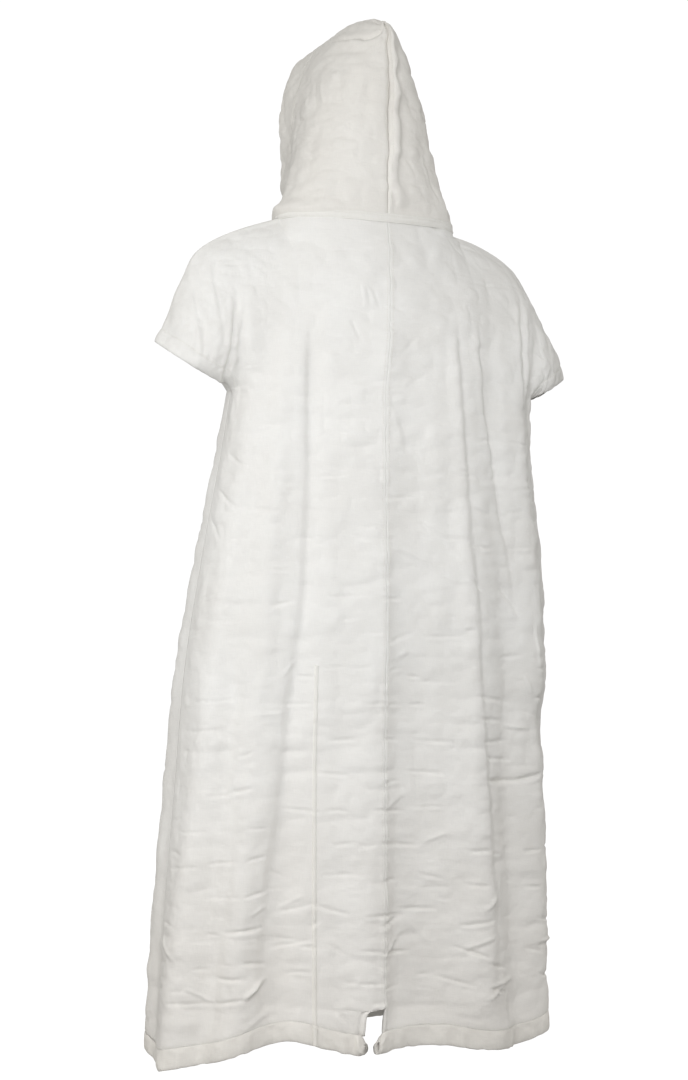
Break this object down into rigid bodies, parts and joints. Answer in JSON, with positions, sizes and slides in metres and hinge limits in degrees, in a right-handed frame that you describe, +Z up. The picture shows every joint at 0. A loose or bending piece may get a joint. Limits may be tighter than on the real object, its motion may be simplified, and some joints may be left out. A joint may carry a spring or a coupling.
{
  "type": "hooded poncho, worn",
  "caption": "Hooded pullover poncho in crinkled off-white cotton, worn with the hood up: short cap sleeves cut in one with the body, turned casing hem and a short slit at the centre back.",
  "frame": {"origin": "middle of the wearer's neck, just above the level of the hood's neck seam", "axes": "+X towards the wearer's left, -Y the way the wearer faces, +Z up"},
  "size_m": [0.6019, 0.2936, 1.3841],
  "materials": {
    "cloth": "matt, crinkled cotton weave"
  },
  "bodies": {
    "root": {"back_left": "cloth", "back_right": "cloth", "front": "cloth", "hood_left": "cloth", "hood_right": "cloth", "neck_band": "cloth", "hem_back_left": "cloth", "hem_back_right": "cloth", "hem_front": "cloth", "seam_strip": "cloth"}
  },
  "joints": []
}
